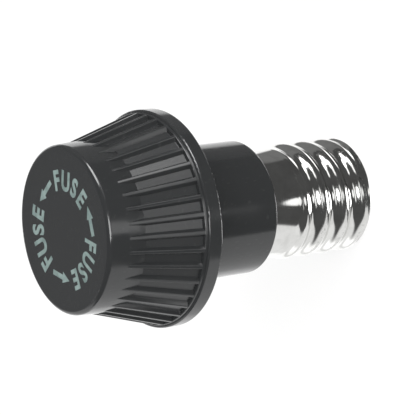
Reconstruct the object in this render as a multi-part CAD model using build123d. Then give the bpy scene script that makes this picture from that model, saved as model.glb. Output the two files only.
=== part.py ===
from build123d import *
import os
from math import cos, pi, radians, sin, tan

# Screw-in fuse carrier of a panel mount fuse holder, in millimetres.
# It stands on the open end of its screw shell, with the cap face up:
# the axis is Z, and the origin is the centre of the shell's open end.

# Lengths along the axis, from the open end of the shell up to the cap face
thread_length = 11.8
collar_length = 4.4
neck_length = 12.35
rim_thickness = 2.05
cap_height = 12.3

# Cap and fluted skirt of the knob
cap_radius = 10.62
cap_draft = 3.5          # degrees
cap_edge_round = 0.6
rib_count = 38
rib_phase = -1.8         # degrees from +X to the middle of a rib
rib_start = 2.85         # from the cap face to the tips of the ribs
skirt_angle = 16.6       # degrees between the rib crests and the axis
rib_height = 0.52
rib_crest_width = 0.42   # at the open side of the skirt
rib_root_width = 1.10
rib_edge_round = 0.12    # along both edges of each crest, at the open side
pocket_land = 0.3        # plain band between the pockets and the rim
land_round = 0.12        # edge between the band and the end walls of the pockets
rim_radius = 13.95
rim_round = 0.25

# Neck of the knob, and the spigot inside the shell
neck_wall = 1.6          # moulding round the shell
neck_edge_round = 0.35
spigot_setback = 0.4     # spigot end, short of the collar end

# Screw shell, rolled from thin tube
shell_radius = 7.1
shell_wall = 0.4
thread_pitch = 3.3
thread_depth = 0.85      # from crest to root
thread_crest = 7.65      # radius over the crests
crest_round = 1.0        # crests and grooves are about equally round
thread_phase = 1.75      # crest height above a whole number of turns, on +X
run_in_length = 1.7      # over which the thread grows to full depth
run_out_length = 1.1     # over which it opens into the round end rim
end_radius = 7.6
sections_per_turn = 12
points_per_turn = 24
shell_embed = 3.0        # moulded into the neck
lip_width = 0.6          # turned out at the top, it locks the shell in

# Fuse clip, folded from spring sheet
fuse_radius = 5.16       # end cap of a 10.3 x 38 mm cartridge fuse
clip_play = 0.04
clip_wall = 0.35
clip_bend = 0.5
clip_setback = 1.2       # finger tips, short of the shell's open end
flare_length = 1.2
flare_width = 0.35
finger_count = 4
finger_gap = 1.5
contact_tab_width = 1.2
dish_radius = 3.35

# Screw, lock washer and threaded insert
screw_radius = 1.5
screw_length = 6.5       # under the head
head_radius = 2.75
head_height = 1.7
head_round = 0.5
slot_width = 0.8
slot_depth = 0.9
washer_outer = 2.8
washer_thickness = 0.7
washer_split = 0.5
head_recess = 0.15       # head, below the ledge that the fuse rests on
insert_radius = 2.5
insert_length = 7.5
insert_groove_width = 1.2
insert_groove_depth = 0.35
insert_flutes = 20
insert_flute_depth = 0.2

# Clearances
seat_play = 0.02         # between pieces that seat on each other
screw_play = 0.1         # round the screw in the clip and the washer

# Heights of the shoulders
collar_z = thread_length
neck_z = collar_z + collar_length
seat_z = neck_z + neck_length
rim_z = seat_z + rim_thickness
face_z = rim_z + cap_height
shell_top_z = neck_z + shell_embed
spigot_z = collar_z + spigot_setback

# Radii that follow
neck_radius = shell_radius + neck_wall
bore_radius = shell_radius - shell_wall
spigot_radius = bore_radius - seat_play
thread_root = thread_crest - thread_depth
thread_rounds = (thread_pitch ** 2 / 4 + thread_depth ** 2) / (2 * thread_depth)
groove_round = thread_rounds - crest_round
clip_inner = fuse_radius + clip_play
clip_outer = clip_inner + clip_wall
head_stack = washer_thickness + head_height + head_recess
dish_floor_z = spigot_z + head_stack
shank_top_z = dish_floor_z - washer_thickness + screw_length
insert_top_z = dish_floor_z + clip_wall + insert_length
clearance_hole = screw_radius + screw_play


def cap_wall(depth):
    # Radius of the drafted cap wall, at a depth below the cap face
    return cap_radius + depth * tan(radians(cap_draft))


def rib_crest(depth):
    # Radius of the rib crests, which leave the cap wall at rib_start
    return cap_wall(rib_start) + (depth - rib_start) * tan(radians(skirt_angle))


def disc(radius, low, high):
    # Plain round blank between two heights
    return Pos(0, 0, low) * extrude(Circle(radius), high - low)


def turned(points, rounds=()):
    # Solid of revolution from a closed outline of (radius, height) points;
    # rounds holds (index of a point, radius of its fillet)
    outline = make_face(Plane.XZ * Polyline(*points, close=True))
    for index, radius in rounds:
        corner_r, corner_z = points[index]
        corner = outline.vertices().sort_by_distance((corner_r, 0, corner_z))[0]
        outline = fillet(corner, radius)
    return revolve(outline, Axis.Z)


def star(depth, floor_drop):
    # Outline of the ribbed skirt at a depth below the cap face
    crest = rib_crest(depth)
    floor = crest - floor_drop
    widest = rib_crest(cap_height - pocket_land)
    crest_half = rib_crest_width / 2 / widest
    root_half = rib_root_width / 2 / widest
    points = []
    for number in range(rib_count):
        middle = radians(rib_phase) + 2 * pi * number / rib_count
        for radius, turn in (
            (floor, -root_half), (crest, -crest_half), (crest, crest_half), (floor, root_half)
        ):
            angle = middle + turn
            points.append((radius * cos(angle), radius * sin(angle)))
    outline = make_face(Polyline(*points, close=True))
    corners = outline.vertices().filter_by(lambda corner: Vector(corner).length > (floor + crest) / 2)
    edge_round = min(rib_edge_round, rib_crest_width / 2) * crest / widest
    return Pos(0, 0, face_z - depth) * fillet(corners, edge_round)


def fluted_skirt():
    # Ribs run from inside the cap wall to the rounded edge of the plain band
    buried = rib_start - 2 * rib_height
    rib_end = cap_height - pocket_land + min(land_round, pocket_land)
    return loft([star(buried, rib_height), star(rib_end, rib_height)], ruled=True)


def knob():
    land_top = rib_crest(cap_height - pocket_land) + seat_play
    land_low = rib_crest(cap_height) + seat_play
    core_radius = cap_radius - 4 * rib_height
    cap_depth = rib_start + rib_height / tan(radians(skirt_angle)) + rib_height
    lip_recess = shell_radius + lip_width + seat_play
    groove_outer = shell_radius + seat_play
    groove_inner = spigot_radius
    dish_outer = dish_radius + clip_wall + seat_play
    dish_top_z = dish_floor_z + clip_wall
    outline = [
        (0, face_z),
        (cap_radius, face_z),
        (cap_wall(cap_depth), face_z - cap_depth),
        (core_radius, face_z - cap_depth),
        (core_radius, rim_z + pocket_land),
        (land_top, rim_z + pocket_land),
        (land_low, rim_z),
        (rim_radius, rim_z),
        (rim_radius, seat_z),
        (neck_radius, seat_z),
        (neck_radius, neck_z),
        (groove_outer, neck_z),
        (groove_outer, shell_top_z - shell_wall),
        (lip_recess, shell_top_z - shell_wall),
        (lip_recess, shell_top_z),
        (groove_inner, shell_top_z),
        (groove_inner, spigot_z),
        (dish_outer, spigot_z),
        (dish_outer, dish_top_z),
        (0, dish_top_z),
    ]
    rounds = (
        (1, cap_edge_round),
        (5, min(land_round, pocket_land / 2)),
        (7, rim_round),
        (8, rim_round),
        (10, neck_edge_round),
    )
    body = turned(outline, rounds) + fluted_skirt()
    pocket = insert_solid(seat_play)
    return body - pocket


def insert_solid(play):
    # Knurled brass insert, with a waist that keeps it from pulling out;
    # play swells it into the pocket that the moulding leaves round it
    low = dish_floor_z + clip_wall
    middle = (low + insert_top_z) / 2
    waist = insert_radius - insert_groove_depth + play
    half = insert_groove_width / 2 - play
    outer = insert_radius + play
    outline = [
        (0, low),
        (outer, low),
        (outer, middle - half),
        (waist, middle - half),
        (waist, middle + half),
        (outer, middle + half),
        (outer, insert_top_z + play),
        (0, insert_top_z + play),
    ]
    return turned(outline)


def threaded_insert():
    low = dish_floor_z + clip_wall
    body = insert_solid(0)
    cutter_radius = insert_flute_depth
    places = PolarLocations(insert_radius + cutter_radius / 2, insert_flutes)
    flutes = Sketch() + [place * Circle(cutter_radius) for place in places]
    cutters = Pos(0, 0, low) * extrude(flutes, insert_length)
    bore = Pos(0, 0, low) * extrude(Circle(screw_radius), shank_top_z - low)
    return body - cutters - bore


def thread_height(place):
    # Height over the root at a place along the axis, counted from a crest.
    # The profile is a convex arc and a concave one, tangent to each other.
    place = abs((place + thread_pitch / 2) % thread_pitch - thread_pitch / 2)
    meeting = crest_round * (thread_pitch / 2) / thread_rounds
    if place < meeting:
        return thread_depth - crest_round + (crest_round ** 2 - place ** 2) ** 0.5
    rest = thread_pitch / 2 - place
    return groove_round - (groove_round ** 2 - rest ** 2) ** 0.5


def smooth_share(share):
    # Share of a blend that starts and ends level
    share = min(share, 1)
    return share * share * (3 - 2 * share)


def thread_solid(inset):
    # Flat sections across the axis, whose outline turns once a pitch. The
    # thread grows out of the plain collar and opens into a round rim. The
    # collar carries on its topmost section, so the two share one edge.
    parameters = [step / points_per_turn for step in range(points_per_turn + 1)]
    sections = []
    count = round(thread_length / thread_pitch * sections_per_turn)
    for number in range(count + 1):
        height = collar_z - thread_length * number / count
        grown = smooth_share((collar_z - height) / run_in_length)
        kept = smooth_share(height / run_out_length)
        points = []
        for step in range(points_per_turn):
            share = step / points_per_turn
            place = height - thread_phase - thread_pitch * share
            radius = shell_radius + grown * (thread_root + thread_height(place) - shell_radius)
            radius = end_radius + kept * (radius - end_radius) - inset
            angle = 2 * pi * share
            points.append((radius * cos(angle), radius * sin(angle)))
        outline = Edge.make_spline(points, periodic=True, parameters=parameters)
        sections.append(Pos(0, 0, height) * make_face(outline))
    plain = extrude(sections[0], shell_top_z - collar_z, dir=(0, 0, 1))
    return loft(sections) + plain


def screw_shell():
    # Thin wall that follows the thread inside and outside, and a lip that
    # the moulding of the neck closes round
    lip = disc(shell_radius + lip_width, shell_top_z - shell_wall, shell_top_z)
    return thread_solid(0) + lip - thread_solid(shell_wall)


def fuse_clip():
    # Drawn cup with four fingers, contact tabs between them that touch the
    # shell, and a dish that sinks the head of the screw
    ledge_z = spigot_z - clip_wall
    tip_z = clip_setback
    flare_z = tip_z + flare_length
    inner, outer = clip_inner, clip_outer
    outline = [
        (clearance_hole, dish_floor_z),
        (dish_radius, dish_floor_z),
        (dish_radius, ledge_z),
        (inner, ledge_z),
        (inner, flare_z),
        (inner + flare_width, tip_z),
        (outer + flare_width, tip_z),
        (outer, flare_z),
        (outer, spigot_z),
        (dish_radius + clip_wall, spigot_z),
        (dish_radius + clip_wall, dish_floor_z + clip_wall),
        (clearance_hole, dish_floor_z + clip_wall),
    ]
    rounds = ((3, clip_bend - clip_wall), (8, clip_bend))
    cup = turned(outline, rounds)
    gap_height = ledge_z - tip_z
    gap = Box(outer + flare_width, finger_gap, gap_height, align=(Align.MIN, Align.CENTER, Align.MIN))
    tab_reach = bore_radius - seat_play
    tab = Box(tab_reach, contact_tab_width, clip_wall, align=(Align.MIN, Align.CENTER, Align.MIN))
    tab_blank = Pos(0, 0, ledge_z) * (tab & extrude(Circle(tab_reach), clip_wall))
    tab_blank -= disc((inner + dish_radius) / 2, ledge_z, spigot_z)
    spread = 360 / finger_count
    for number in range(finger_count):
        turn = Rot(0, 0, spread * (number + 0.5))
        cup -= turn * Pos(0, 0, tip_z) * gap
    for number in range(finger_count):
        turn = Rot(0, 0, spread * (number + 0.5))
        cup += turn * tab_blank
    return cup


def lock_washer():
    top = dish_floor_z
    low = top - washer_thickness
    washer = disc(washer_outer, low, top) - disc(clearance_hole, low, top)
    split = Box(washer_outer, washer_split, 2 * washer_thickness, align=(Align.MIN, Align.CENTER, Align.CENTER))
    return washer - Pos(0, 0, top - washer_thickness / 2) * Rot(0, 0, 30) * split


def clip_screw():
    under_head = dish_floor_z - washer_thickness
    head_low = under_head - head_height
    outline = [
        (0, head_low),
        (head_radius, head_low),
        (head_radius, under_head),
        (screw_radius - seat_play, under_head),
        (screw_radius - seat_play, shank_top_z - seat_play),
        (0, shank_top_z - seat_play),
    ]
    screw = turned(outline, ((1, head_round),))
    slot = Box(2 * head_radius, slot_width, 2 * slot_depth)
    return screw - Pos(0, 0, head_low) * Rot(0, 0, 20) * slot


pieces = {
    "knob": knob(),
    "screw_shell": screw_shell(),
    "fuse_clip": fuse_clip(),
    "lock_washer": lock_washer(),
    "clip_screw": clip_screw(),
    "threaded_insert": threaded_insert(),
}

os.makedirs("parts", exist_ok=True)
for name, piece in pieces.items():
    export_step(piece, f"parts/{name}.step")
    size = piece.bounding_box().size
    print(f"{name}: {len(piece.solids())} solid, {piece.volume:.1f} mm3, {size.X:.2f} x {size.Y:.2f} x {size.Z:.2f}")
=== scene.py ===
import math

import bpy
from mathutils import Matrix, Vector


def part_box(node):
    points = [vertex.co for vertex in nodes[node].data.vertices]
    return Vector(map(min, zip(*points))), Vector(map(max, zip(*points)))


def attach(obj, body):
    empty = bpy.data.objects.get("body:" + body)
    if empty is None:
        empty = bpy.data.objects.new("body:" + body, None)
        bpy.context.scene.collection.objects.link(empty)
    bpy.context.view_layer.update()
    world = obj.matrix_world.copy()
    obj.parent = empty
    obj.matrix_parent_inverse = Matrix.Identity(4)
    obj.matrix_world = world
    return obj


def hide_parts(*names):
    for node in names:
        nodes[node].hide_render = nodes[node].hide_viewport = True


# Screw-in fuse carrier: a fluted black knob, its neck and a bright screw shell.
# Everything is in metres. The axis is Z, the shell stands on its open end.
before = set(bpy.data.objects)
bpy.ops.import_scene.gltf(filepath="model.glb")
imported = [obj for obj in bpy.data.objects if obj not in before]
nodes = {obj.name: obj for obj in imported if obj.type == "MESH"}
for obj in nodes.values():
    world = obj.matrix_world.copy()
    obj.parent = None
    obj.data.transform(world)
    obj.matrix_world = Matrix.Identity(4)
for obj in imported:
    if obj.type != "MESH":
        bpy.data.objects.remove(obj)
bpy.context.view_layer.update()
mm = 0.001
print("frame loaded:", ", ".join(sorted(nodes)))


# Small helpers

def pickOnly(piece):
    bpy.ops.object.select_all(action="DESELECT")
    piece.select_set(True)
    bpy.context.view_layer.objects.active = piece


def settle(piece):
    # place, turn and size go into the mesh, so the object sits at the origin
    pickOnly(piece)
    bpy.ops.object.transform_apply(location=True, rotation=True, scale=True)


def addNode(tree, kind, **settings):
    node = tree.nodes.new(kind)
    for key, value in settings.items():
        setattr(node, key, value)
    return node


def feed(tree, socket, value):
    # an output is linked, anything else is set on the socket itself
    if isinstance(value, bpy.types.NodeSocket):
        tree.links.new(value, socket)
    else:
        socket.default_value = value


def mathNode(tree, operation, *values):
    node = addNode(tree, "ShaderNodeMath", operation=operation)
    for socket, value in zip(node.inputs, values):
        feed(tree, socket, value)
    return node.outputs[0]


def rampBetween(tree, value, low, high, outLow=0.0, outHigh=1.0):
    node = addNode(tree, "ShaderNodeMapRange", interpolation_type="SMOOTHSTEP")
    names = ("Value", "From Min", "From Max", "To Min", "To Max")
    for name, given in zip(names, (value, low, high, outLow, outHigh)):
        feed(tree, node.inputs[name], given)
    return node.outputs["Result"]


def noiseAt(tree, place, scale, detail):
    noise = addNode(tree, "ShaderNodeTexNoise")
    for name, value in (("Vector", place), ("Scale", scale), ("Detail", detail)):
        feed(tree, noise.inputs[name], value)
    return noise.outputs["Fac"]


def objectPlace(tree):
    return addNode(tree, "ShaderNodeTexCoord").outputs["Object"]


def fromAxis(tree, place):
    # distance from the part's axis
    level = addNode(tree, "ShaderNodeVectorMath", operation="MULTIPLY")
    level.inputs[1].default_value = (1, 1, 0)
    length = addNode(tree, "ShaderNodeVectorMath", operation="LENGTH")
    feed(tree, level.inputs[0], place)
    feed(tree, length.inputs[0], level.outputs["Vector"])
    return length.outputs["Value"]


def newMaterial(name):
    material = bpy.data.materials.new(name)
    material.use_nodes = True
    tree = material.node_tree
    return material, tree, tree.nodes["Principled BSDF"]


def colourBetween(tree, share, first, second):
    mix = addNode(tree, "ShaderNodeMix", data_type="RGBA")
    feed(tree, mix.inputs[0], share)
    for socket, colour in ((mix.inputs[6], first), (mix.inputs[7], second)):
        feed(tree, socket, (*colour, 1) if isinstance(colour, tuple) else colour)
    return mix.outputs[2]


def newGroup(name, vectors, numbers, results):
    group = bpy.data.node_groups.new(name, "ShaderNodeTree")
    for titles, way, kind in (
            (vectors, "INPUT", "NodeSocketVector"),
            (numbers, "INPUT", "NodeSocketFloat"),
            (results, "OUTPUT", "NodeSocketFloat")):
        for title in titles:
            group.interface.new_socket(name=title, in_out=way, socket_type=kind)
    return group, addNode(group, "NodeGroupInput"), addNode(group, "NodeGroupOutput")


def placeGroup(tree, group, **values):
    node = addNode(tree, "ShaderNodeGroup", node_tree=group)
    for name, value in values.items():
        feed(tree, node.inputs[name.replace("_", " ")], value)
    return node


# Shader groups that several finishes share

markShapes = {
    "patchDetail": 4.0,
    "patchRange": (0.35, 0.7),
    "scratchTurn": (0.5, 0.9, 0.3),
    "scratchStretch": (1.0, 9.0, 1.6),
    "scratchDetail": 3.0,
    "scratchRange": (0.62, 0.72),
    "ringDetail": 3.0,
}


def makeHandling():
    # soft patches and fine scratches, from handling and from lying in a drawer
    scales = ("Patch Scale", "Scratch Scale", "Scratch Share")
    group, start, end = newGroup("handling", (), scales, ("Patches", "Scratches"))
    place = objectPlace(group)
    stretched = addNode(group, "ShaderNodeMapping")
    feed(group, stretched.inputs["Vector"], place)
    feed(group, stretched.inputs["Rotation"], markShapes["scratchTurn"])
    feed(group, stretched.inputs["Scale"], markShapes["scratchStretch"])
    patches = noiseAt(group, place, start.outputs["Patch Scale"], markShapes["patchDetail"])
    scratches = noiseAt(group, stretched.outputs["Vector"], start.outputs["Scratch Scale"],
                        markShapes["scratchDetail"])
    thin = rampBetween(group, scratches, *markShapes["scratchRange"])
    kept = mathNode(group, "MULTIPLY", thin, start.outputs["Scratch Share"])
    feed(group, end.inputs["Patches"], rampBetween(group, patches, *markShapes["patchRange"]))
    feed(group, end.inputs["Scratches"], kept)
    return group


def makeTurning():
    # fine rings round the axis, as rolling, turning and drawing leave them
    group, start, end = newGroup("turning", (), ("Ring Scale", "Round Scale"), ("Rings",))
    parts = addNode(group, "ShaderNodeSeparateXYZ")
    feed(group, parts.inputs[0], objectPlace(group))
    joined = addNode(group, "ShaderNodeCombineXYZ")
    for axis, scale in (("X", "Round Scale"), ("Y", "Round Scale"), ("Z", "Ring Scale")):
        scaled = mathNode(group, "MULTIPLY", parts.outputs[axis], start.outputs[scale])
        feed(group, joined.inputs[axis], scaled)
    rings = noiseAt(group, joined.outputs[0], 1.0, markShapes["ringDetail"])
    feed(group, end.inputs["Rings"], rings)
    return group


def makeReach():
    # share of the way out between two radii, for wear on what stands proud
    group, start, end = newGroup("reach", (), ("Inner", "Outer"), ("Share",))
    radius = fromAxis(group, objectPlace(group))
    share = rampBetween(group, radius, start.outputs["Inner"], start.outputs["Outer"])
    feed(group, end.inputs["Share"], share)
    return group


handling = makeHandling()
turning = makeTurning()
reach = makeReach()


def placeHandling(tree, look):
    return placeGroup(tree, handling, Patch_Scale=look["patchScale"],
                      Scratch_Scale=look["scratchScale"], Scratch_Share=look["scratchShare"])


def bumpFrom(tree, shader, height, distance):
    bump = addNode(tree, "ShaderNodeBump")
    bump.inputs["Strength"].default_value = 1.0
    bump.inputs["Distance"].default_value = distance
    feed(tree, bump.inputs["Height"], height)
    feed(tree, shader.inputs["Normal"], bump.outputs["Normal"])


# Finishes

# Black resin. Heights and radii say where the cone of the rib crests lies,
# since the pocket floors below it are satin.
plastic = {
    "colour": (0.0300, 0.0315, 0.0326),
    "wornColour": (0.044, 0.046, 0.046),
    "ior": 1.6,
    "smooth": 0.10,
    "dull": 0.20,
    "patchScale": 210.0,
    "scratchScale": 800.0,
    "scratchShare": 0.6,
    "peelScale": 700.0,
    "peelDetail": 1.0,
    "peelDepth": 0.004 * mm,
    "ribTip": 40.05 * mm,
    "ribTipRadius": 10.794 * mm,
    "ribSlope": 0.2981,
    "skirtFoot": 30.65 * mm,
    "floorFrom": 0.22 * mm,
    "floorTo": 0.42 * mm,
    "floorDull": 0.25,
}


def makeSunken():
    # how far a point lies below the cone that the rib crests share
    group, _, end = newGroup("sunken", (), (), ("Share",))
    place = objectPlace(group)
    parts = addNode(group, "ShaderNodeSeparateXYZ")
    feed(group, parts.inputs[0], place)
    down = mathNode(group, "SUBTRACT", plastic["ribTip"], parts.outputs["Z"])
    wider = mathNode(group, "MULTIPLY", down, plastic["ribSlope"])
    crest = mathNode(group, "ADD", wider, plastic["ribTipRadius"])
    below = mathNode(group, "SUBTRACT", crest, fromAxis(group, place))
    depth = rampBetween(group, below, plastic["floorFrom"], plastic["floorTo"])
    above = mathNode(group, "GREATER_THAN", parts.outputs["Z"], plastic["skirtFoot"])
    feed(group, end.inputs["Share"], mathNode(group, "MULTIPLY", depth, above))
    return group


def mouldedPlastic():
    material, tree, shader = newMaterial("mouldedBlackPlastic")
    marks = placeHandling(tree, plastic)
    colour = colourBetween(tree, marks.outputs["Scratches"], plastic["colour"], plastic["wornColour"])
    feed(tree, shader.inputs["Base Color"], colour)
    gloss = rampBetween(tree, marks.outputs["Patches"], 0.0, 1.0, plastic["smooth"], plastic["dull"])
    sunken = placeGroup(tree, makeSunken()).outputs["Share"]
    satin = mathNode(tree, "MULTIPLY", sunken, plastic["floorDull"])
    feed(tree, shader.inputs["Roughness"], mathNode(tree, "MAXIMUM", gloss, satin))
    peel = noiseAt(tree, objectPlace(tree), plastic["peelScale"], plastic["peelDetail"])
    bumpFrom(tree, shader, peel, plastic["peelDepth"])
    shader.inputs["IOR"].default_value = plastic["ior"]
    return material


# Bright nickel plate, duller and pitted where the crests of the thread rub.
nickel = {
    "colour": (0.77, 0.77, 0.755),
    "dullColour": (0.66, 0.66, 0.645),
    "pitColour": (0.34, 0.34, 0.33),
    "smooth": 0.07,
    "dull": 0.16,
    "patchScale": 420.0,
    "scratchScale": 1500.0,
    "scratchShare": 0.8,
    "crestDull": 0.09,
    "crestFrom": 7.45 * mm,
    "crestTo": 7.66 * mm,
    "pitScale": 3200.0,
    "pitDetail": 2.0,
    "pitRange": (0.60, 0.70),
    "pitShare": 0.7,
    "ringScale": 4200.0,
    "roundScale": 160.0,
    "ringShare": 0.6,
    "ringDepth": 0.0021 * mm,
}


def nickelPlate():
    material, tree, shader = newMaterial("brightNickelPlate")
    marks = placeHandling(tree, nickel)
    rings = placeGroup(tree, turning, Ring_Scale=nickel["ringScale"], Round_Scale=nickel["roundScale"])
    plate = colourBetween(tree, marks.outputs["Patches"], nickel["colour"], nickel["dullColour"])
    shader.inputs["Metallic"].default_value = 1.0
    crests = placeGroup(tree, reach, Inner=nickel["crestFrom"], Outer=nickel["crestTo"])
    pits = noiseAt(tree, objectPlace(tree), nickel["pitScale"], nickel["pitDetail"])
    pitMask = rampBetween(tree, pits, *nickel["pitRange"])
    worn = mathNode(tree, "MULTIPLY", pitMask, crests.outputs["Share"])
    pitShare = mathNode(tree, "MULTIPLY", worn, nickel["pitShare"])
    feed(tree, shader.inputs["Base Color"], colourBetween(tree, pitShare, plate, nickel["pitColour"]))
    faint = mathNode(tree, "MULTIPLY", rings.outputs["Rings"], nickel["ringShare"])
    both = mathNode(tree, "MAXIMUM", marks.outputs["Scratches"], faint)
    even = rampBetween(tree, both, 0.0, 1.0, nickel["smooth"], nickel["dull"])
    rubbed = mathNode(tree, "MULTIPLY", crests.outputs["Share"], nickel["crestDull"])
    feed(tree, shader.inputs["Roughness"], mathNode(tree, "ADD", even, rubbed))
    bumpFrom(tree, shader, rings.outputs["Rings"], nickel["ringDepth"])
    return material


# The metals inside: two colours that the patches run between, the roughness
# between and on the rings, and how close the rings lie.
hiddenMarks = {
    "patchScale": 500.0,
    "scratchScale": 1300.0,
    "scratchShare": 0.5,
    "roundScale": 220.0,
    "ringRange": (0.3, 0.7),
    "ringDepth": 0.002 * mm,
}
sheetAndBar = {
    "springBronze": {
        "light": (0.72, 0.50, 0.33), "dark": (0.48, 0.31, 0.20), "rough": (0.22, 0.42), "rings": 5000.0},
    "zincSteel": {
        "light": (0.68, 0.69, 0.71), "dark": (0.45, 0.46, 0.49), "rough": (0.20, 0.38), "rings": 12000.0},
    "turnedBrass": {
        "light": (0.82, 0.63, 0.30), "dark": (0.58, 0.42, 0.18), "rough": (0.20, 0.36), "rings": 14000.0},
}


def hiddenMetal(name):
    look = sheetAndBar[name]
    material, tree, shader = newMaterial(name)
    marks = placeHandling(tree, hiddenMarks)
    rings = placeGroup(tree, turning, Ring_Scale=look["rings"], Round_Scale=hiddenMarks["roundScale"])
    colour = colourBetween(tree, marks.outputs["Patches"], look["light"], look["dark"])
    feed(tree, shader.inputs["Base Color"], colour)
    shader.inputs["Metallic"].default_value = 1.0
    rough = rampBetween(tree, rings.outputs["Rings"], *hiddenMarks["ringRange"], *look["rough"])
    feed(tree, shader.inputs["Roughness"], rough)
    bumpFrom(tree, shader, rings.outputs["Rings"], hiddenMarks["ringDepth"])
    return material


# Pale paint of the legend, thin in patches
legendPaint = {
    "colour": (0.26, 0.34, 0.325),
    "thinColour": (0.16, 0.22, 0.21),
    "rough": 0.42,
    "patchScale": 900.0,
    "scratchScale": 2500.0,
    "scratchShare": 0.7,
}


def markingPaint():
    material, tree, shader = newMaterial("paleMarkingPaint")
    marks = placeHandling(tree, legendPaint)
    colour = colourBetween(tree, marks.outputs["Patches"], legendPaint["colour"], legendPaint["thinColour"])
    feed(tree, shader.inputs["Base Color"], colour)
    shader.inputs["Roughness"].default_value = legendPaint["rough"]
    return material


def wear(node, material):
    node.data.materials.clear()
    node.data.materials.append(material)


wear(nodes["knob"], mouldedPlastic())
brightNickel = nickelPlate()
wear(nodes["screw_shell"], brightNickel)
steel = hiddenMetal("zincSteel")
wear(nodes["fuse_clip"], hiddenMetal("springBronze"))
wear(nodes["clip_screw"], steel)
wear(nodes["lock_washer"], steel)
wear(nodes["threaded_insert"], hiddenMetal("turnedBrass"))
print("finishes on", len(nodes), "nodes")


# Rolled screw shell: a thin tube, flared a little above a shallow round thread.
# Heights are from the open end, radii to the outside, in millimetres.
shell = {
    "columns": 72,
    "rows": 96,
    "height": 19.2,
    "tube": 7.1,
    "wall": 0.4,
    "threadLength": 11.8,
    "pitch": 3.3,
    "crest": 7.65,
    "depth": 0.5,
    "phase": 2.0,
    "runIn": 1.9,
    "runOut": 1.1,
    "endRadius": 7.6,
    "flare": 0.15,
    "flareLength": 3.2,
}


def easeIn(share):
    share = min(max(share, 0.0), 1.0)
    return share * share * (3 - 2 * share)


def rolledRadius(height, angle):
    flared = (shell["threadLength"] + shell["flareLength"] - height) / shell["flareLength"]
    tube = shell["tube"] + shell["flare"] * min(max(flared, 0.0), 1.0) ** 2
    turn = (height - shell["phase"]) / shell["pitch"] - angle / (2 * math.pi)
    thread = shell["crest"] - shell["depth"] * (1 - math.cos(2 * math.pi * turn)) / 2
    grown = easeIn((shell["threadLength"] - height) / shell["runIn"])
    radius = tube + grown * (thread - tube)
    return shell["endRadius"] + easeIn(height / shell["runOut"]) * (radius - shell["endRadius"])


def addShell():
    # cuts across the long edges of a tube, then each vertex set out to its radius
    bpy.ops.object.select_all(action="DESELECT")
    high = shell["height"] * mm
    bpy.ops.mesh.primitive_cylinder_add(
        vertices=shell["columns"], radius=shell["tube"] * mm, depth=high,
        end_fill_type="NOTHING", location=(0, 0, high / 2))
    piece = bpy.context.object
    piece.name = "screwShell"
    settle(piece)
    bpy.ops.object.mode_set(mode="EDIT")
    bpy.ops.mesh.select_mode(type="EDGE")
    bpy.ops.mesh.select_all(action="DESELECT")
    bpy.ops.object.mode_set(mode="OBJECT")
    corners = piece.data.vertices
    for edge in piece.data.edges:
        first, second = (corners[index].co.z for index in edge.vertices)
        edge.select = abs(first - second) > high / 2
    bpy.ops.object.mode_set(mode="EDIT")
    bpy.ops.mesh.subdivide(number_cuts=shell["rows"] - 1)
    bpy.ops.object.mode_set(mode="OBJECT")
    for vertex in piece.data.vertices:
        angle = math.atan2(vertex.co.y, vertex.co.x)
        radius = rolledRadius(vertex.co.z / mm, angle) * mm
        vertex.co.x = radius * math.cos(angle)
        vertex.co.y = radius * math.sin(angle)
    bpy.ops.object.mode_set(mode="EDIT")
    bpy.ops.mesh.select_all(action="SELECT")
    bpy.ops.mesh.normals_make_consistent(inside=False)
    bpy.ops.object.mode_set(mode="OBJECT")
    wall = piece.modifiers.new("wall", "SOLIDIFY")
    wall.thickness = shell["wall"] * mm
    wall.offset = -1
    rounding = piece.modifiers.new("round", "SUBSURF")
    rounding.levels = 1
    rounding.render_levels = 1
    for modifier in ("wall", "round"):
        bpy.ops.object.modifier_apply(modifier=modifier)
    bpy.ops.object.shade_smooth()
    wear(piece, brightNickel)
    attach(piece, "root")
    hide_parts("screw_shell")


addShell()
print("screw shell rolled")


# Legend on the cap face: the plain word for what the carrier takes, and
# arrows for the way it unscrews. Angles run clockwise from +X, seen from above.

legend = {
    "word": "FUSE",
    "words": (
        {"angle": 23.5, "radius": 6.25 * mm, "height": 2.6 * mm, "spread": 1.0},
        {"angle": 135.5, "radius": 6.25 * mm, "height": 2.6 * mm, "spread": 1.0},
        {"angle": 260.9, "radius": 6.35 * mm, "height": 2.85 * mm, "spread": 1.03},
    ),
    "letterSteps": (-28.6, -9.6, 9.6, 28.4),
    "centre": (0.0, -0.25 * mm),
    "letterWidth": 0.84,
    "weight": 0.036,
    "curveSteps": 4,
    "thickness": 0.05 * mm,
    "arrows": (
        {"tip": 63.3, "tail": 95.9, "radius": 6.6 * mm},
        {"tip": 177.6, "tail": 215.6, "radius": 6.0 * mm},
        {"tip": 304.0, "tail": 341.5, "radius": 6.1 * mm},
    ),
    "arrowHead": 1.6 * mm,
    "headWidth": 1.45 * mm,
    "shaftWidth": 0.66 * mm,
}


def onFace(piece, angle, radius, faceHeight):
    turn = -math.radians(angle + 90)
    across, along = legend["centre"]
    place = Vector((
        across + radius * math.cos(math.radians(angle)),
        along - radius * math.sin(math.radians(angle)),
        faceHeight,
    ))
    piece.matrix_world = Matrix.Translation(place) @ Matrix.Rotation(turn, 4, "Z") @ piece.matrix_world
    settle(piece)


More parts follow.
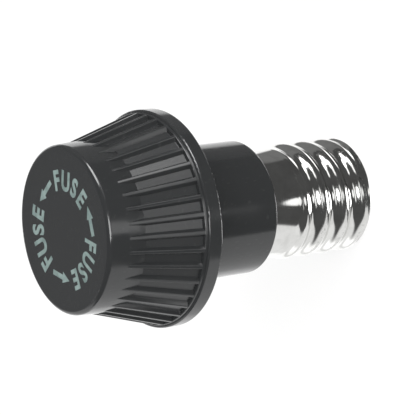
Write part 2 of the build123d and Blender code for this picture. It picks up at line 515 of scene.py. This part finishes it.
def addLetter(letter, angle, word, faceHeight):
    # extruded one unit thick, then brought to its height and the paint's thickness
    bpy.ops.object.select_all(action="DESELECT")
    bpy.ops.object.text_add()
    piece = bpy.context.object
    words = piece.data
    words.body = letter
    words.align_x = "CENTER"
    words.align_y = "CENTER"
    words.offset = legend["weight"]
    words.resolution_u = legend["curveSteps"]
    words.extrude = 0.5
    pickOnly(piece)
    bpy.ops.object.convert(target="MESH")
    piece = bpy.context.object
    corners = [Vector(corner) for corner in piece.bound_box]
    low = Vector([min(c[i] for c in corners) for i in range(3)])
    high = Vector([max(c[i] for c in corners) for i in range(3)])
    scale = word["height"] / (high.y - low.y)
    middle = (low + high) / 2
    flat = Matrix.Diagonal((scale * legend["letterWidth"], scale, legend["thickness"], 1))
    piece.matrix_world = flat @ Matrix.Translation(-middle)
    settle(piece)
    onFace(piece, angle, word["radius"], faceHeight)
    return piece


def addArrow(arrow, faceHeight):
    # drawn pointing to -x, then laid along the ring
    half = arrow["radius"] * math.sin(math.radians(arrow["tail"] - arrow["tip"]) / 2)
    neck = -half + legend["arrowHead"]
    outline = (
        (-half, 0), (neck, -legend["headWidth"] / 2), (neck, -legend["shaftWidth"] / 2),
        (half, -legend["shaftWidth"] / 2), (half, legend["shaftWidth"] / 2),
        (neck, legend["shaftWidth"] / 2), (neck, legend["headWidth"] / 2),
    )
    bpy.ops.object.select_all(action="DESELECT")
    bpy.ops.mesh.primitive_circle_add(vertices=len(outline), radius=half, fill_type="NGON")
    piece = bpy.context.object
    for vertex, (x, y) in zip(piece.data.vertices, outline):
        vertex.co = (x, y, -legend["thickness"] / 2)
    bpy.ops.object.mode_set(mode="EDIT")
    bpy.ops.mesh.select_all(action="SELECT")
    bpy.ops.mesh.extrude_region_move(TRANSFORM_OT_translate={"value": (0, 0, legend["thickness"])})
    bpy.ops.mesh.select_all(action="SELECT")
    bpy.ops.mesh.normals_make_consistent(inside=False)
    bpy.ops.object.mode_set(mode="OBJECT")
    onFace(piece, (arrow["tip"] + arrow["tail"]) / 2, arrow["radius"], faceHeight)
    return piece


def addLegend():
    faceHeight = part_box("knob")[1].z
    pieces = []
    for word in legend["words"]:
        for letter, step in zip(legend["word"], legend["letterSteps"]):
            pieces.append(addLetter(letter, word["angle"] + step * word["spread"], word, faceHeight))
    for arrow in legend["arrows"]:
        pieces.append(addArrow(arrow, faceHeight))
    bpy.ops.object.select_all(action="DESELECT")
    for piece in pieces:
        piece.select_set(True)
    bpy.context.view_layer.objects.active = pieces[0]
    bpy.ops.object.join()
    whole = bpy.context.object
    whole.name = "legend"
    wear(whole, markingPaint())
    settle(whole)
    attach(whole, "root")


addLegend()
print("legend drawn")


# Stage, light and camera

stage = {
    "floorHalf": 1.5,
    "floorColour": (0.93, 0.93, 0.92),
    "roughness": 0.9,
    "paleShare": 0.72,
    "paleStrength": 1.08,
}


def addFloor():
    # white to the camera for the greater part, and the rest takes the shadow
    bpy.ops.object.select_all(action="DESELECT")
    bpy.ops.mesh.primitive_plane_add(size=2 * stage["floorHalf"], location=(0, 0, 0))
    floor = bpy.context.object
    floor.name = "floor"
    material, tree, shader = newMaterial("paleFloor")
    shader.inputs["Base Color"].default_value = (*stage["floorColour"], 1)
    shader.inputs["Roughness"].default_value = stage["roughness"]
    shader.inputs["Specular IOR Level"].default_value = 0.0
    glow = addNode(tree, "ShaderNodeEmission")
    glow.inputs["Strength"].default_value = stage["paleStrength"]
    path = addNode(tree, "ShaderNodeLightPath")
    seen = mathNode(tree, "MULTIPLY", path.outputs["Is Camera Ray"], stage["paleShare"])
    mix = addNode(tree, "ShaderNodeMixShader")
    feed(tree, mix.inputs[0], seen)
    feed(tree, mix.inputs[1], shader.outputs[0])
    feed(tree, mix.inputs[2], glow.outputs[0])
    feed(tree, tree.nodes["Material Output"].inputs["Surface"], mix.outputs[0])
    wear(floor, material)
    floor.visible_glossy = False


# The studio as the gloss sees it: white table and backdrop, and soft windows.
# Azimuth runs from +X towards +Y, elevation up from the level, in degrees.
# Width and height are half the window's, in degrees too. Square is 2 for an
# oval and more for a squarer window, edge is how soft the border is, and light
# is 1 for white.
studio = {
    "plain": 0.85,
    "dim": 0.082,
    "columns": ("azimuth", "elevation", "width", "height", "square", "edge", "light"),
    "windows": {
        "table": (165, -32, 50, 30, 4, 0.6, 0.95),
        "tableFar": (130, 0, 28, 40, 4, 0.7, 0.95),
        "tableNear": (176, -42, 38, 25, 8, 0.3, 0.92),
        "tableGlint": (158, -14, 30, 15, 2, 1.0, 1.45),
        "backdrop": (96, -26, 42, 36, 4, 0.5, 1.25),
        "nearHigh": (-92, 26, 16, 18, 3, 0.5, 7.0),
        "nearPocket": (-91, -1, 21, 5, 3, 0.8, 1.5),
        "nearGlint": (-91, -21, 9, 14, 2, 0.5, 1.4),
        "below": (180, -86, 26, 11, 3, 0.5, 6.0),
        "topHigh": (-15, 18, 19, 18, 2.5, 0.5, 9.0),
        "topLow": (44, -60, 15, 13, 2, 0.5, 2.4),
        "pocketGlint": (-31, -3, 11, 8, 3, 0.6, 3.0),
        "pocketGrey": (-47, -3, 9, 6, 3, 0.6, 1.5),
        "faceGrey": (94, 38, 48, 27, 3, 0.9, 0.2),
        "topGrey": (28, 0, 26, 45, 4, 0.6, 0.2),
    },
}


def wayTo(azimuth, elevation):
    turn, rise = math.radians(azimuth), math.radians(elevation)
    return Vector((math.cos(turn) * math.cos(rise), math.sin(turn) * math.cos(rise), math.sin(rise)))


def makeSoftWindow():
    ways = ("Direction", "Way", "Side", "Rise")
    sizes = ("Half Width", "Half Height", "Square", "Edge")
    group, start, end = newGroup("softWindow", ways, sizes, ("Mask",))

    def along(name):
        dot = addNode(group, "ShaderNodeVectorMath", operation="DOT_PRODUCT")
        feed(group, dot.inputs[0], start.outputs["Direction"])
        feed(group, dot.inputs[1], start.outputs[name])
        return dot.outputs["Value"]

    def reached(name, halfName):
        off = mathNode(group, "ABSOLUTE", along(name))
        share = mathNode(group, "DIVIDE", off, start.outputs[halfName])
        return mathNode(group, "POWER", share, start.outputs["Square"])

    used = mathNode(group, "ADD", reached("Side", "Half Width"), reached("Rise", "Half Height"))
    inside = mathNode(group, "SUBTRACT", 1.0, used)
    left = mathNode(group, "DIVIDE", inside, start.outputs["Edge"])
    ahead = mathNode(group, "GREATER_THAN", along("Way"), 0.0)
    mask = mathNode(group, "MULTIPLY", rampBetween(group, left, 0.0, 1.0), ahead)
    feed(group, end.inputs["Mask"], mask)
    return group


def addStudio():
    world = bpy.data.worlds.new("studio")
    bpy.context.scene.world = world
    world.use_nodes = True
    tree = world.node_tree
    background = tree.nodes["Background"]
    background.inputs["Color"].default_value = (1, 1, 1, 1)
    direction = addNode(tree, "ShaderNodeTexCoord").outputs["Generated"]
    softWindow = makeSoftWindow()

    light = studio["dim"]
    for name, values in studio["windows"].items():
        window = dict(zip(studio["columns"], values))
        way = wayTo(window["azimuth"], window["elevation"])
        side = wayTo(window["azimuth"] + 90, 0)
        node = placeGroup(
            tree, softWindow, Direction=direction, Way=way, Side=side, Rise=way.cross(side),
            Half_Width=math.sin(math.radians(window["width"])),
            Half_Height=math.sin(math.radians(window["height"])),
            Square=window["square"], Edge=window["edge"])
        node.label = name
        bright = mathNode(tree, "MULTIPLY", node.outputs["Mask"], window["light"])
        light = mathNode(tree, "MAXIMUM", bright, light)
    path = addNode(tree, "ShaderNodeLightPath")
    glossy = mathNode(tree, "MAXIMUM", path.outputs["Is Glossy Ray"], path.outputs["Is Transmission Ray"])
    plain = mathNode(tree, "MAXIMUM", path.outputs["Is Camera Ray"], studio["plain"])
    mix = addNode(tree, "ShaderNodeMix", data_type="FLOAT")
    feed(tree, mix.inputs[0], glossy)
    feed(tree, mix.inputs[2], plain)
    feed(tree, mix.inputs[3], light)
    feed(tree, background.inputs["Strength"], mix.outputs[0])


lamp = {"place": (0.25, -0.35, 0.55), "aim": (0, 0, 0.022), "size": 0.5, "energy": 2.2}


def addLamp():
    bpy.ops.object.select_all(action="DESELECT")
    bpy.ops.object.light_add(type="AREA", location=lamp["place"])
    soft = bpy.context.object
    soft.name = "softBox"
    soft.data.size = lamp["size"]
    soft.data.energy = lamp["energy"]
    aim = Vector(lamp["aim"]) - Vector(lamp["place"])
    soft.rotation_euler = aim.to_track_quat("-Z", "Y").to_euler()
    soft.visible_glossy = False


# The camera looks as the photograph does: from beside the cap, rolled onto its side.
camera = {
    "place": (16.54 * mm, -213.76 * mm, 166.70 * mm),
    "turn": (-11.055, 55.075, -99.101),
    "lens": 173.5,
    "sensor": 36.0,
    "clipStart": 0.01,
}


def addCamera():
    turn = [math.radians(angle) for angle in camera["turn"]]
    bpy.ops.object.select_all(action="DESELECT")
    bpy.ops.object.camera_add(location=camera["place"], rotation=turn)
    view = bpy.context.object
    view.name = "photoCamera"
    view.data.lens = camera["lens"]
    view.data.sensor_width = camera["sensor"]
    view.data.clip_start = camera["clipStart"]
    bpy.context.scene.camera = view


addFloor()
addStudio()
addLamp()
addCamera()
bpy.context.scene.view_settings.view_transform = "Standard"
print("stage, light and camera set")
